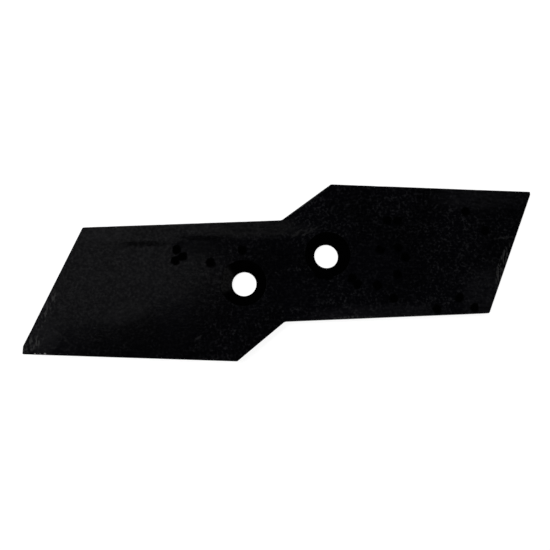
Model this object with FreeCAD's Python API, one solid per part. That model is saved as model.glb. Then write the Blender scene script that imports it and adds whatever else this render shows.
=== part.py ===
import FreeCAD, Part
import math
import os

# A reversible ploughshare: one flat steel plate with two raked blades, one each side of the bolt line.
# The blades are alike under a half turn about the middle, so a worn end is swapped for the fresh one.
# The share is modelled lying on its flat back, as it is laid down off the plough.
# X runs along the plate and Z comes out of the worked face, where the bolt heads sink in.
# The origin is on the back face, midway between the two bolts. Sizes are in millimetres and degrees.

# Plate
THICKNESS = 8.0
FACE_EDGE_ROUND = 1.0         # arris round the worked face, rounded by forging and blasting
BACK_EDGE_ROUND = 0.5         # arris round the back face, only deburred
CORNER_RADIUS = 1.2           # the plate's outer corners, seen from above
INNER_CORNER_RADIUS = 3.5     # the hollow corner beside each blade's root

# One blade, measured from the middle of the plate. The other blade is its half turn.
SHOULDER_ACROSS = 50.4        # shoulder, where the slant from the other blade meets the outer edge
ROOT_ACROSS = 28.8            # hollow corner, where the inner edge meets the slant to the other blade
TIP_ALONG = 143.6             # acute tip, where outer edge and raked end would meet in a point
OUTER_EDGE_TAPER = 1.7        # both long edges close in on each other towards the tip
INNER_EDGE_TAPER = 2.6
END_RAKE = 67.4               # angle of the raked end to the plate's length

# The two slants are cut about three degrees apart, so each blade has a shoulder and a root of its own
NEAR_SHOULDER_ALONG = 26.7
NEAR_ROOT_ALONG = 0.2
FAR_SHOULDER_ALONG = 25.7
FAR_ROOT_ALONG = 1.8

# Blunted tips: how far each point has gone, and the radius of what is left
NEAR_NOSE_LOSS = 0.8
FAR_NOSE_LOSS = 1.8
NOSE_RADIUS = 0.6

# Cutting edge, ground under each raked end
EDGE_LAND = 3.0               # upright face left above the bevel
EDGE_BEVEL_ANGLE = 25.0       # bevel to the back face

# Two holes for plough bolts with flat countersunk heads
BOLT_PITCH = 50.0
BOLT_LINE_ANGLE = 19.15       # line through both holes, to the plate's length
BOLT_HOLE_DIAMETER = 14.0
COUNTERSINK_DIAMETER = 25.5
COUNTERSINK_ANGLE = 90.0      # whole angle of the cone

# The plate's middle, measured from the midpoint between the bolts: the holes are drilled a little off centre
MIDDLE_ALONG = -0.7
MIDDLE_ACROSS = -0.8

# How far each cutting tool passes beyond the steel
OVERCUT = 5.0

UP = FreeCAD.Vector(0, 0, 1)


def heading(degrees):
    """Unit vector in the plane of the plate, turned from +X."""
    angle = math.radians(degrees)
    return FreeCAD.Vector(math.cos(angle), math.sin(angle), 0)


def half_turned(point):
    return FreeCAD.Vector(-point.x, -point.y, point.z)


def meeting_point(start, direction, other_start, other_direction):
    """Where two lines in the plane of the plate cross."""
    across = FreeCAD.Vector(-other_direction.y, other_direction.x, 0)
    reach = (other_start - start).dot(across) / direction.dot(across)
    return start + direction * reach


def blade_points(shoulder_along, root_along):
    """Shoulder, tip, heel and root of a blade on the +X side, before its corners are rounded."""
    shoulder = FreeCAD.Vector(shoulder_along, SHOULDER_ACROSS, 0)
    root = FreeCAD.Vector(root_along, -ROOT_ACROSS, 0)
    tip_line = FreeCAD.Vector(TIP_ALONG, 0, 0)
    tip = meeting_point(shoulder, heading(-OUTER_EDGE_TAPER), tip_line, heading(90))
    heel = meeting_point(root, heading(INNER_EDGE_TAPER), tip, heading(END_RAKE))
    return shoulder, tip, heel, root


def blade_corners(blade, nose_loss):
    """The blade's corners with their radii, from the root round to the shoulder."""
    shoulder, tip, heel, root = blade
    nose_line = FreeCAD.Vector(TIP_ALONG - nose_loss, 0, 0)
    nose_low = meeting_point(tip, heading(END_RAKE), nose_line, heading(90))
    nose_high = meeting_point(tip, heading(-OUTER_EDGE_TAPER), nose_line, heading(90))
    return [
        (root, INNER_CORNER_RADIUS),
        (heel, CORNER_RADIUS),
        (nose_low, NOSE_RADIUS),
        (nose_high, NOSE_RADIUS),
        (shoulder, CORNER_RADIUS),
    ]


def corner_arc(before, corner, after, radius):
    """Arc that rounds a corner of the outline, whichever way the outline turns."""
    to_before = (before - corner).normalize()
    to_after = (after - corner).normalize()
    half_angle = to_before.getAngle(to_after) / 2
    setback = radius / math.tan(half_angle)
    bulge = radius / math.sin(half_angle) - radius
    middle = corner + (to_before + to_after).normalize() * bulge
    return Part.Arc(corner + to_before * setback, middle, corner + to_after * setback).toShape()


def plate_outline(near_blade, far_blade):
    corners = blade_corners(near_blade, NEAR_NOSE_LOSS)
    for point, radius in blade_corners(far_blade, FAR_NOSE_LOSS):
        corners.append((half_turned(point), radius))
    points = [point for point, radius in corners]
    arcs = []
    for index, (point, radius) in enumerate(corners):
        after = points[(index + 1) % len(points)]
        arcs.append(corner_arc(points[index - 1], point, after, radius))
    edges = []
    for index, arc in enumerate(arcs):
        start = arcs[index - 1].Vertexes[-1].Point
        edges.append(Part.makeLine(start, arc.Vertexes[0].Point))
        edges.append(arc)
    return Part.Wire(edges)


def edges_at(solid, height):
    return [
        edge for edge in solid.Edges
        if all(abs(vertex.Z - height) < 1e-6 for vertex in edge.Vertexes)
    ]


def plate_blank(outline):
    """The cut plate with its arrises rounded, before grinding and drilling."""
    blank = Part.Face(outline).extrude(UP * THICKNESS)
    blank = blank.makeFillet(FACE_EDGE_ROUND, edges_at(blank, THICKNESS))
    return blank.makeFillet(BACK_EDGE_ROUND, edges_at(blank, 0))


def bevel_wedge(blade):
    """Steel ground off under the raked end of a blade on the +X side."""
    shoulder, tip, heel, root = blade
    along_end = (tip - heel).normalize()
    inwards = UP.cross(along_end)
    rise = THICKNESS - EDGE_LAND
    slope = math.tan(math.radians(EDGE_BEVEL_ANGLE))
    start = heel - along_end * (rise / slope + OVERCUT)
    length = (tip - heel).Length + 2 * (rise / slope + OVERCUT)

    def section_point(inset):
        return start + inwards * inset + UP * (rise - inset * slope)

    outer = section_point(-OVERCUT)
    inner = section_point(rise / slope + OVERCUT)
    below = FreeCAD.Vector(outer.x, outer.y, inner.z)
    section = Part.makePolygon([outer, inner, below, outer])
    return Part.Face(section).extrude(along_end * length)


def bolt_hole(centre):
    """Through hole with its conical seat, turned about the bolt's axis."""
    hole_radius = BOLT_HOLE_DIAMETER / 2
    seat_radius = COUNTERSINK_DIAMETER / 2
    flare = math.tan(math.radians(COUNTERSINK_ANGLE / 2))
    seat_depth = (seat_radius - hole_radius) / flare
    section = Part.makePolygon([
        FreeCAD.Vector(0, 0, -OVERCUT),
        FreeCAD.Vector(hole_radius, 0, -OVERCUT),
        FreeCAD.Vector(hole_radius, 0, THICKNESS - seat_depth),
        FreeCAD.Vector(seat_radius + OVERCUT * flare, 0, THICKNESS + OVERCUT),
        FreeCAD.Vector(0, 0, THICKNESS + OVERCUT),
        FreeCAD.Vector(0, 0, -OVERCUT),
    ])
    tool = Part.Face(section).revolve(FreeCAD.Vector(0, 0, 0), UP, 360)
    tool.translate(centre)
    return tool


def share_plate():
    near_blade = blade_points(NEAR_SHOULDER_ALONG, NEAR_ROOT_ALONG)
    far_blade = blade_points(FAR_SHOULDER_ALONG, FAR_ROOT_ALONG)
    near_wedge = bevel_wedge(near_blade)
    far_wedge = bevel_wedge(far_blade).rotated(FreeCAD.Vector(0, 0, 0), UP, 180)
    ground = plate_blank(plate_outline(near_blade, far_blade)).cut([near_wedge, far_wedge])
    ground.translate(FreeCAD.Vector(MIDDLE_ALONG, MIDDLE_ACROSS, 0))
    near_bolt = heading(BOLT_LINE_ANGLE) * (BOLT_PITCH / 2)
    return ground.cut([bolt_hole(near_bolt), bolt_hole(half_turned(near_bolt))])


os.makedirs("parts", exist_ok=True)
share_plate().exportStep("parts/share_plate.step")
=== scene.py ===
import math

import bmesh
import bpy
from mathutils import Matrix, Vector, noise


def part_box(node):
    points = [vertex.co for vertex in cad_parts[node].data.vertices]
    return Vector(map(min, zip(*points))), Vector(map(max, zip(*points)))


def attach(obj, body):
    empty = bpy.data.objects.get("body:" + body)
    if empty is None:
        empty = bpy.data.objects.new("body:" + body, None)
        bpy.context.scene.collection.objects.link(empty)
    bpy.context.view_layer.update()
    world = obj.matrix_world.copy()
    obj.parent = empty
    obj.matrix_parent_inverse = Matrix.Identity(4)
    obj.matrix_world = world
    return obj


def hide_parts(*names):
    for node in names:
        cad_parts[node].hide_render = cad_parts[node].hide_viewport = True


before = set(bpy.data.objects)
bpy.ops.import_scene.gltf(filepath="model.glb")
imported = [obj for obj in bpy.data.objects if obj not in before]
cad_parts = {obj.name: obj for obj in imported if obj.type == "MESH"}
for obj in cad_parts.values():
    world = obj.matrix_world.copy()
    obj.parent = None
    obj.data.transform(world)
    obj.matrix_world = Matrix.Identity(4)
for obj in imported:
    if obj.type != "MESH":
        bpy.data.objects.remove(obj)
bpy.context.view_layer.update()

# Plate
# One flat piece of wear-resistant steel, cut to its outline, drilled and countersunk for two plough bolts.
# Its rolled skin is a little uneven and pitted, and its arrises and the rims of the seats are worn soft.

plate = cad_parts["share_plate"]
(left, low, back), (right, high, face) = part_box("share_plate")
bolt_line = math.radians(19.15)
near_bolt = Vector((math.cos(bolt_line), math.sin(bolt_line), 0)) * 0.025
bolts = [near_bolt, -near_bolt]
seat_radius = 0.01275
rim_round = 0.0003
bevel_slope = math.radians(25)


def from_bolt(place):
    """Distance from the nearer bolt's axis."""
    return min((place.xy - bolt.xy).length for bolt in bolts)


def eased(value, start, end):
    """0 before start, 1 past end, with a soft rise between them."""
    share = min(max((value - start) / (end - start), 0), 1)
    return share * share * (3 - 2 * share)


surface = bmesh.new()
surface.from_mesh(plate.data)
same_point = 1e-6
flat = math.radians(0.3)
bmesh.ops.remove_doubles(surface, verts=surface.verts, dist=same_point)
bmesh.ops.dissolve_limit(surface, angle_limit=flat, verts=surface.verts, edges=surface.edges)


def on_rim(corner):
    """Whether a corner lies where a bolt seat meets the worked face."""
    return face - corner.co.z < 1e-5 and abs(from_bolt(corner.co) - seat_radius) < 5e-5


# The rims of the seats, softened
rims = [edge for edge in surface.edges if all(on_rim(corner) for corner in edge.verts)]
bmesh.ops.bevel(surface, geom=rims, offset=rim_round, segments=3, profile=0.5, affect="EDGES")

# Each finish has its place: the rolled faces, the cut sides, the bolt seats and the ground bevels
rolled, cut, seated, ground = range(4)
seat_tilt = 0.95
side_tilt = 0.7
bevel_tilt = -math.cos(bevel_slope)
least_bevel_area = 1e-5
surface.normal_update()
for panel in surface.faces:
    tilt = panel.normal.z
    if from_bolt(panel.calc_center_median()) < seat_radius + rim_round and abs(tilt) < seat_tilt:
        panel.material_index = seated
    elif abs(tilt - bevel_tilt) < 0.01 and panel.calc_area() > least_bevel_area:
        panel.material_index = ground
    elif abs(tilt) < side_tilt:
        panel.material_index = cut
    else:
        panel.material_index = rolled

# A fine grid over the whole plate gives the skin something to bend
grid_pitch = 0.0012
for axis, start, end in ((0, left, right), (1, low, high)):
    count = int((end - start) / grid_pitch)
    across = Vector((0, 0, 0))
    across[axis] = 1
    for step in range(1, count):
        on_plane = across * (start + (end - start) * step / count)
        everything = surface.verts[:] + surface.edges[:] + surface.faces[:]
        bmesh.ops.bisect_plane(surface, geom=everything, plane_co=on_plane, plane_no=across, dist=1e-7)


wave_length = 0.024
wave_depth = 0.00005
ripple_length = 0.006
ripple_depth = 0.000012
pit_spacing = 0.011
pit_depth = 0.00007
nick_spacing = 0.0045
nick_depth = 0.00025
smooth_round_seat = 0.003


def skin_depth(place, outwards):
    """How far the steel's skin lies below the plate's true surface."""
    waves = 0.5 + 0.5 * noise.noise(place / wave_length)
    ripple = 0.5 + 0.5 * noise.noise(place / ripple_length + Vector((7, 3, 1)))
    depth = wave_depth * waves + ripple_depth * ripple
    on_face = abs(outwards.z) > 0.9
    on_arris = 0.1 < outwards.z < 0.97
    if on_face:
        distances, pits = noise.voronoi(place / pit_spacing)
        pit_size = 0.06 + 0.1 * noise.cell(pits[0] * 9)
        if pit_size > 0.1:
            depth += pit_depth * (1 - eased(distances[0], 0, pit_size))
    if on_arris:
        depth += nick_depth * max(0, noise.noise(place / nick_spacing) - 0.3)
    return depth * eased(from_bolt(place), seat_radius + rim_round, seat_radius + smooth_round_seat)


surface.normal_update()
sunk = [vertex.co - vertex.normal * skin_depth(vertex.co, vertex.normal) for vertex in surface.verts]
for vertex, place in zip(surface.verts, sunk):
    vertex.co = place

share_mesh = bpy.data.meshes.new("share")
surface.to_mesh(share_mesh)
surface.free()
share_mesh.shade_smooth()
share_mesh.set_sharp_from_angle(angle=math.radians(20))
share = bpy.data.objects.new("share", share_mesh)
bpy.context.scene.collection.objects.link(share)
even_faces = share.modifiers.new("even_faces", "WEIGHTED_NORMAL")
even_faces.keep_sharp = True
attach(share, "root")
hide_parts("share_plate")


# Paint on the rolled faces
# A thin near-black paint over the rolled skin, with dust caught in its grain and a weak gloss on top.
# It is deeper and dull in round dabs and thin where it was rubbed or scratched. On the far blade it is
# painted lighter and darker to shape the sheen, and two arrises carry a painted highlight.


def feed(material, socket, value):
    """Set a shader input to a value, or link it to another node's output."""
    if isinstance(value, bpy.types.NodeSocket):
        material.node_tree.links.new(value, socket)
    else:
        socket.default_value = value


def node(material, kind, **inputs):
    """A new shader node, with its inputs given by name."""
    made = material.node_tree.nodes.new("ShaderNode" + kind)
    for name, value in inputs.items():
        feed(material, made.inputs[name.replace("_", " ")], value)
    return made


def stretched(material, place, along, across, upwards, turn=0):
    """The place with its sizes changed, so that a grain comes out longer one way than another."""
    mapping = node(material, "Mapping", Vector=place, Rotation=(0, 0, -math.radians(turn)))
    mapping.inputs["Scale"].default_value = (1 / along, 1 / across, 1 / upwards)
    return mapping.outputs["Vector"]


def grain(material, place, size, detail=2):
    """Soft random grain between 0 and 1, with lumps of the given size in metres."""
    return node(material, "TexNoise", Vector=place, Scale=1 / size, Detail=detail).outputs[0]


def spread(material, value, start, end, low=0.0, high=1.0):
    """A value between start and end, spread out between low and high."""
    made = node(material, "MapRange", Value=value, From_Min=start, From_Max=end, To_Min=low, To_Max=high)
    made.interpolation_type = "SMOOTHSTEP"
    return made.outputs["Result"]


def combined(material, operation, first, second):
    """Two values multiplied, added, subtracted, or the greater of them."""
    made = node(material, "Math")
    made.operation = operation
    feed(material, made.inputs[0], first)
    feed(material, made.inputs[1], second)
    return made.outputs[0]


def blended(material, amount, first, second):
    """The first colour with some of the second one over it."""
    made = node(material, "Mix")
    made.data_type = "RGBA"
    feed(material, made.inputs[0], amount)
    feed(material, made.inputs[6], first)
    feed(material, made.inputs[7], second)
    return made.outputs[2]


def wandering(material, place, size, reach):
    """The place pushed about a little, so that a mark's outline comes out uneven."""
    drift = node(material, "TexNoise", Vector=place, Scale=1 / size, Detail=2)
    push = node(material, "VectorMath")
    push.operation = "MULTIPLY_ADD"
    feed(material, push.inputs[0], drift.outputs["Color"])
    push.inputs[1].default_value = (2 * reach, 2 * reach, 0)
    back_again = node(material, "VectorMath")
    feed(material, back_again.inputs[0], place)
    back_again.inputs[1].default_value = (-reach, -reach, 0)
    feed(material, push.inputs[2], back_again.outputs["Vector"])
    return push.outputs["Vector"]


def spot(material, place, x, y, length, width, turn=0, depth=2):
    """1 at a point of the worked face, falling off to 0 at the edge of an oval. Sizes in millimetres."""
    around = node(material, "Mapping", Vector=place, Rotation=(0, 0, math.radians(turn)))
    around.vector_type = "TEXTURE"
    around.inputs["Location"].default_value = (x / 1000, y / 1000, face)
    around.inputs["Scale"].default_value = (length / 2000, width / 2000, depth / 1000)
    oval = node(material, "TexGradient", Vector=around.outputs["Vector"])
    oval.gradient_type = "SPHERICAL"
    return oval.outputs["Fac"]


def any_of(material, spots):
    """The strongest of several spots at each place."""
    together = spots[0]
    for other in spots[1:]:
        together = combined(material, "MAXIMUM", together, other)
    return together


def new_paint(name, specular, roughness):
    """A paint with its shader, and the plate's own coordinates to place its marks by."""
    material = bpy.data.materials.new(name)
    material.use_nodes = True
    shader = material.node_tree.nodes["Principled BSDF"]
    shader.inputs["Specular IOR Level"].default_value = specular
    shader.inputs["Roughness"].default_value = roughness
    place = node(material, "TexCoord").outputs["Object"]
    return material, shader, place


deep_black = (0.00005, 0.00005, 0.0003, 1)
film_black = (0.0004, 0.0004, 0.0009, 1)
# The dust grey also colours the patches of painted sheen on the far blade.
dust_and_sheen_grey = (0.0080, 0.0080, 0.0090, 1)
rub_grey = (0.0080, 0.0080, 0.0080, 1)
worn_grey = (0.024, 0.024, 0.024, 1)
bare_steel = (0.14, 0.14, 0.14, 1)
dab_black = (0.00002, 0.00002, 0.00002, 1)
fine_grain = 0.0014
dab_size = 6.8

face_paint, shader, place = new_paint("face_paint", 0.0025, 0.3)
uneven = wandering(face_paint, place, 0.003, 0.0012)

patches = spread(face_paint, grain(face_paint, place, 0.030), 0.35, 0.65)
tone = blended(face_paint, patches, deep_black, film_black)

# Dust in the grain, less of it on the far blade and on the smooth strips beside the bolts; one dust-free
# spot low on the far blade is painted shade at the edge of the reflected sheen
smooth_and_painted_shade = any_of(face_paint, [
    spot(face_paint, uneven, -4, 8, 34, 26, 40),
    spot(face_paint, uneven, 2, -13, 46, 26),
    spot(face_paint, uneven, -48, 12.5, 38, 11, 1),
    # Painted shade: this spot takes the dust away to darken the paint where the softbox's reflection
    # should fade out.
    spot(face_paint, uneven, -60, -34, 30, 54),
    spot(face_paint, uneven, 55, 2, 64, 42, 7),
])
smooth_and_painted_shade = spread(face_paint, smooth_and_painted_shade, 0, 0.6)
clean = spread(face_paint, spot(face_paint, uneven, -95, 0, 150, 120), 0, 0.5, 1, 0.4)
mottle = spread(face_paint, grain(face_paint, place, fine_grain, 3), 0.45, 0.80)
coarse = spread(face_paint, grain(face_paint, place, 0.0032, 2), 0.3, 0.7, 0.35, 1.65)
mottle = combined(face_paint, "MULTIPLY", mottle, coarse)
clusters = spread(face_paint, grain(face_paint, place, 0.006, 3), 0.35, 0.65)
dust_and_painted_shade = combined(face_paint, "ADD", 0.35, combined(face_paint, "MULTIPLY", patches, 0.45))
dust_and_painted_shade = combined(face_paint, "ADD", dust_and_painted_shade, combined(face_paint, "MULTIPLY", clusters, 0.3))
dust_and_painted_shade = combined(face_paint, "MULTIPLY", dust_and_painted_shade, spread(face_paint, smooth_and_painted_shade, 0, 1, 1, 0.38))
dust_and_painted_shade = combined(face_paint, "MULTIPLY", dust_and_painted_shade, clean)
tone = blended(face_paint, combined(face_paint, "MULTIPLY", mottle, dust_and_painted_shade), tone, dust_and_sheen_grey)

strokes = stretched(face_paint, place, 12, 1, 1)
lines = spread(face_paint, grain(face_paint, strokes, 0.0009), 0.55, 0.80)
tone = blended(face_paint, combined(face_paint, "MULTIPLY", lines, 0.2), tone, dust_and_sheen_grey)

# Rubbed places: well rubbed along the far blade's outer side, and lightly in patches on the near blade;
# the light patches on the far blade are painted sheen at the edge of the softbox's reflection
streak_grain = grain(face_paint, stretched(face_paint, place, 3, 1, 1), 0.0016, 3)
streaky = spread(face_paint, streak_grain, 0.3, 0.7, 0.3, 1)
well_rubbed = any_of(face_paint, [
    spot(face_paint, uneven, -20, 22.5, 86, 15, 1),
    spot(face_paint, uneven, -3, 23, 28, 12, 15),
])
well_rubbed = combined(face_paint, "MULTIPLY", spread(face_paint, well_rubbed, 0, 0.6, 0, 0.6), streaky)
rubbed_and_painted_sheen = any_of(face_paint, [
    spot(face_paint, uneven, 50, -25, 100, 13, 3),
    spot(face_paint, uneven, 111, -14, 46, 32, 67),
    spot(face_paint, uneven, 111, 42, 68, 20),
    # Painted sheen: these three spots on the far blade lighten the paint to fill out the overhead
    # softbox's reflection.
    spot(face_paint, uneven, -131, -41, 30, 18, 67),
    spot(face_paint, uneven, -104, 20, 50, 17, 2),
    spot(face_paint, uneven, -88, -25, 34, 16, 15),
])
rubbed_and_painted_sheen = combined(face_paint, "MULTIPLY", spread(face_paint, rubbed_and_painted_sheen, 0, 0.6, 0, 0.38), streaky)
tone = blended(face_paint, rubbed_and_painted_sheen, tone, dust_and_sheen_grey)
tone = blended(face_paint, well_rubbed, tone, rub_grey)

# Flecks of bare metal along both raked ends and at the foot of the near blade
flecked = any_of(face_paint, [
    spot(face_paint, uneven, -130.4, -23.5, 30, 5, 70),
    spot(face_paint, uneven, -137, -41.5, 17, 9, 40),
    spot(face_paint, uneven, 122.5, 3, 32, 6, 68),
    spot(face_paint, uneven, 36, -27.4, 34, 3, 3),
])
fleck_grain = grain(face_paint, stretched(face_paint, place, 1, 3, 1, -22), 0.0011, 2)
flecks = spread(face_paint, fleck_grain, 0.48, 0.62)
flecked = combined(face_paint, "MULTIPLY", spread(face_paint, flecked, 0, 0.5), flecks)
tone = blended(face_paint, combined(face_paint, "MULTIPLY", flecked, 0.7), tone, worn_grey)

# Three chips down to bright steel on the far tip's lower arris
chipped = any_of(face_paint, [
    spot(face_paint, place, -135.4, -47.4, 1.3, 1.2),
    spot(face_paint, place, -132.6, -47.6, 1.2, 1.0),
    spot(face_paint, place, -130.0, -47.5, 1.9, 1.6),
])
tone = blended(face_paint, spread(face_paint, chipped, 0.1, 0.5), tone, bare_steel)

# Scratches
scratched = any_of(face_paint, [
    spot(face_paint, uneven, 124.7, 18.6, 12, 1.6, 9),
    spot(face_paint, uneven, 6.0, 20.1, 12, 1.8, 41),
    spot(face_paint, uneven, 13.4, 21.3, 15, 1.8, 30),
    spot(face_paint, uneven, 20.1, 19.3, 14, 1.8, 22),
    spot(face_paint, uneven, -47.7, -38.3, 7, 1.8, 37),
])
tone = blended(face_paint, spread(face_paint, scratched, 0, 0.6, 0, 0.2), tone, worn_grey)

# Round dabs of a deeper black, two thin runs of it, and a smear below the near seat
dabs = [spot(face_paint, uneven, 19.1, -3.6, 9, 6, -10)]
for x, y in (
    (-61.4, 10.4), (-57.9, 6.4), (-61.7, 4.1), (-42.2, 3.1), (-24.7, 10.3), (23.8, -4.4), (37.2, -5.4),
    (39.9, -8.8), (51.1, -9.3), (59.8, -16.5), (62.6, -3.0), (58.0, 28.1), (63.7, 28.1), (53.4, 11.2),
    (63.7, 12.4), (67.5, 6.7), (103.2, 33.7), (114.0, 22.6), (96.8, -15.8), (84.1, -22.5), (104.9, -21.3),
):
    dabs.append(spot(face_paint, uneven, x, y, dab_size, dab_size))
dabbed = spread(face_paint, any_of(face_paint, dabs), 0.05, 0.40)
runs = any_of(face_paint, [
    spot(face_paint, uneven, -80, 13.4, 38, 5.0, 1),
    spot(face_paint, uneven, -45, 17.0, 44, 4.5),
    spot(face_paint, uneven, -60, 12.6, 9, 5.0, 60),
])
blots = spread(face_paint, grain(face_paint, place, 0.0022, 2), 0.35, 0.6, 0.25, 0.65)
runs = combined(face_paint, "MULTIPLY", spread(face_paint, runs, 0.05, 0.6), blots)
dabbed = combined(face_paint, "MAXIMUM", dabbed, runs)
tone = blended(face_paint, dabbed, tone, dab_black)

# A painted highlight along the arris of the far blade's outer side and up the slant beside the near bolt:
# lighter paint for light caught on the rounded edge
painted_arris_highlight = any_of(face_paint, [
    spot(face_paint, place, -55, 25.3, 108, 1.8, 2.8),
    spot(face_paint, place, 11.7, 38.4, 36, 1.8, 37.2),
])
tone = blended(face_paint, spread(face_paint, painted_arris_highlight, 0.05, 0.5, 0, 0.6), tone, worn_grey)
feed(face_paint, shader.inputs["Base Color"], tone)

dullness = spread(face_paint, dabbed, 0, 1, 0.3, 0.8)
feed(face_paint, shader.inputs["Roughness"], dullness)

# The gloss is a thin skin on top, broken by the grain and missing on the dabs
gloss = spread(face_paint, grain(face_paint, place, fine_grain, 3), 0.3, 0.7, 0.0058, 0.0158)
veil = spot(face_paint, uneven, -49, 12.5, 42, 14, 1)
gloss = combined(face_paint, "MULTIPLY", gloss, spread(face_paint, veil, 0, 0.5, 1, 0.45))
gloss = combined(face_paint, "MULTIPLY", gloss, combined(face_paint, "SUBTRACT", 1, dabbed))
feed(face_paint, shader.inputs["Coat Weight"], gloss)
shader.inputs["Coat Roughness"].default_value = 0.16

dab_height = combined(face_paint, "MULTIPLY", dabbed, 1.5)
relief = combined(face_paint, "ADD", grain(face_paint, place, 0.0013, 3), dab_height)
bump = node(face_paint, "Bump", Distance=0.00002, Height=relief)
feed(face_paint, shader.inputs["Normal"], bump.outputs["Normal"])
feed(face_paint, shader.inputs["Coat Normal"], bump.outputs["Normal"])


# Paint on the cut sides
# The cut leaves fine upright lines in the sides, from face to back, which the same paint covers.
# It is patchy there, and the lines are worn a little lighter.

side_dark = (0.002, 0.002, 0.0022, 1)
side_light = (0.006, 0.006, 0.0065, 1)

side_paint, shader, place = new_paint("side_paint", 0.06, 0.42)
upright = stretched(side_paint, place, 1, 1, 12)
cut_lines = grain(side_paint, upright, 0.0009, 3)
scale_patches = spread(side_paint, grain(side_paint, place, 0.009, 3), 0.3, 0.7)
tone = blended(side_paint, scale_patches, side_dark, side_light)
tone = blended(side_paint, spread(side_paint, cut_lines, 0.5, 0.8, 0, 0.5), tone, worn_grey)
feed(side_paint, shader.inputs["Base Color"], tone)
bump = node(side_paint, "Bump", Distance=0.00008, Height=cut_lines)
feed(side_paint, shader.inputs["Normal"], bump.outputs["Normal"])


# Paint in the bolt seats
# The cones and holes are turned with a countersink, so rings run round them under the paint.
# The paint lies thick and dark in there; one side of the far seat is painted lighter, a painted sheen like
# the softbox's reflection on the far blade around it.

ring_black = (0.0002, 0.0002, 0.0002, 1)
sheen_grey = (0.010, 0.010, 0.010, 1)

seat_paint, shader, place = new_paint("seat_paint", 0.001, 0.5)
rings = grain(seat_paint, stretched(seat_paint, place, 1000, 1000, 1), 0.0003)
tone = blended(seat_paint, rings, dab_black, ring_black)
uneven = wandering(seat_paint, place, 0.003, 0.0015)
# Painted sheen: the far seat's left side is lightened to match the sheen on the far blade around it.
painted_sheen_side = spread(seat_paint, spot(seat_paint, uneven, -37, -6.2, 24, 21, 0, 14), 0.1, 0.4)
sheen_grain = spread(seat_paint, grain(seat_paint, place, fine_grain, 3), 0.35, 0.65, 0.35, 1)
painted_sheen_side = combined(seat_paint, "MULTIPLY", painted_sheen_side, sheen_grain)
tone = blended(seat_paint, painted_sheen_side, tone, sheen_grey)
feed(seat_paint, shader.inputs["Base Color"], tone)
bump = node(seat_paint, "Bump", Distance=0.00002, Height=rings)
feed(seat_paint, shader.inputs["Normal"], bump.outputs["Normal"])


# Paint on the ground bevels
# Both raked ends are ground to an edge from behind, and the wheel's lines show through the paint.

bevel_paint, shader, place = new_paint("bevel_paint", 0.06, 0.36)
end_rake = 67.4
across_edge = stretched(bevel_paint, place, 1, 25, 1, end_rake)
wheel_lines = grain(bevel_paint, across_edge, 0.0008, 3)
tone = blended(bevel_paint, spread(bevel_paint, wheel_lines, 0.3, 0.8), side_dark, worn_grey)
feed(bevel_paint, shader.inputs["Base Color"], tone)
bump = node(bevel_paint, "Bump", Distance=0.00006, Height=wheel_lines)
feed(bevel_paint, shader.inputs["Normal"], bump.outputs["Normal"])

for paint in (face_paint, side_paint, seat_paint, bevel_paint):
    share_mesh.materials.append(paint)


# Studio
# The plate lies on a white floor, clear from below, in even light from four large softboxes round it.
# A fifth softbox hangs flat over the far blade, where the paint mirrors it softly.

floor_mesh = bpy.data.meshes.new("studio_floor")
reach = 3.0
level = -0.0001
corners = [(-reach, -reach, level), (reach, -reach, level), (reach, reach, level), (-reach, reach, level)]
floor_mesh.from_pydata(corners, [], [(0, 1, 2, 3)])
floor = bpy.data.objects.new("studio_floor", floor_mesh)
bpy.context.scene.collection.objects.link(floor)

white = bpy.data.materials.new("white_floor")
white.use_nodes = True
white.node_tree.nodes.clear()
paper = node(white, "BsdfDiffuse", Color=(0.8, 0.8, 0.8, 1))
seen_paper = node(white, "BsdfDiffuse", Color=(0.2, 0.2, 0.2, 1))
outwards = node(white, "VectorMath", Vector=node(white, "TexCoord").outputs["Object"])
outwards.operation = "LENGTH"
glow = node(white, "Emission", Strength=spread(white, outwards.outputs["Value"], 0.3, 0.9, 0.89, 1))
seen = node(white, "AddShader")
feed(white, seen.inputs[0], seen_paper.outputs[0])
feed(white, seen.inputs[1], glow.outputs[0])


def seen_rays(material):
    """1 for rays that look at the studio, straight or in a reflection, and 0 for rays that light it."""
    path = node(material, "LightPath")
    glossy = path.outputs["Is Glossy Ray"]
    through = path.outputs["Is Transmission Ray"]
    straight = path.outputs["Is Camera Ray"]
    return combined(material, "MAXIMUM", straight, combined(material, "MAXIMUM", glossy, through))


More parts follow.
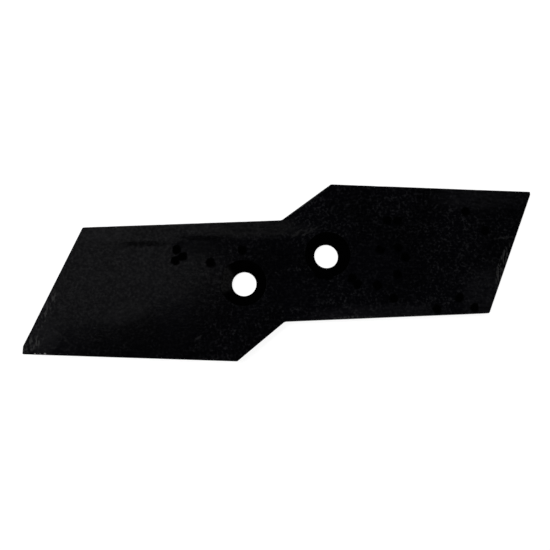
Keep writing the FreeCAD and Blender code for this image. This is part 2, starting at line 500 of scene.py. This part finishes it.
choice = node(white, "MixShader", Fac=seen_rays(white))
feed(white, choice.inputs[1], paper.outputs[0])
feed(white, choice.inputs[2], seen.outputs[0])
one_sided = node(white, "MixShader", Fac=node(white, "NewGeometry").outputs["Backfacing"])
feed(white, one_sided.inputs[1], choice.outputs[0])
feed(white, one_sided.inputs[2], node(white, "BsdfTransparent").outputs[0])
feed(white, node(white, "OutputMaterial").inputs["Surface"], one_sided.outputs[0])
floor_mesh.materials.append(white)


def softbox(name, place, size, power):
    """A round lamp that faces the plate."""
    lamp = bpy.data.lights.new(name, "AREA")
    lamp.shape = "DISK"
    lamp.size = size
    lamp.energy = power
    holder = bpy.data.objects.new(name, lamp)
    holder.location = place
    holder.rotation_euler = Vector(place).to_track_quat("Z", "Y").to_euler()
    bpy.context.scene.collection.objects.link(holder)


softbox("back_softbox", (0.0, 1.3, 1.1), 0.9, 7)
softbox("left_softbox", (-1.3, 0.2, 1.1), 0.9, 4)
softbox("right_softbox", (1.3, -0.4, 1.1), 0.9, 4.5)
softbox("front_softbox", (-0.2, -1.3, 1.1), 0.9, 4.5)

overhead = bpy.data.lights.new("overhead_softbox", "AREA")
overhead.shape = "RECTANGLE"
overhead.size = 0.82
overhead.size_y = 0.46
overhead.energy = 12.5
hanging = bpy.data.objects.new("overhead_softbox", overhead)
hanging.location = (-0.64, 0.213, 1.2)
hanging.rotation_euler = (0, 0, math.radians(16))
bpy.context.scene.collection.objects.link(hanging)

world = bpy.data.worlds.new("studio")
world.use_nodes = True
backdrop = world.node_tree.nodes["Background"]
backdrop.inputs["Color"].default_value = (1, 1, 1, 1)
feed(world, backdrop.inputs["Strength"], spread(world, seen_rays(world), 0, 1, 0.1, 1))
bpy.context.scene.world = world
bpy.context.scene.view_settings.view_transform = "Standard"

# Camera
# Close above the plate, a little to the front of it, with a wide lens.

camera_data = bpy.data.cameras.new("camera")
camera_data.sensor_width = 36
camera_data.lens = 26.18
camera = bpy.data.objects.new("camera", camera_data)
camera.location = (-0.00938, -0.03364, 0.22916)
camera.rotation_euler = (math.radians(7.697), math.radians(-0.874), math.radians(0.229))
bpy.context.scene.collection.objects.link(camera)
bpy.context.scene.camera = camera
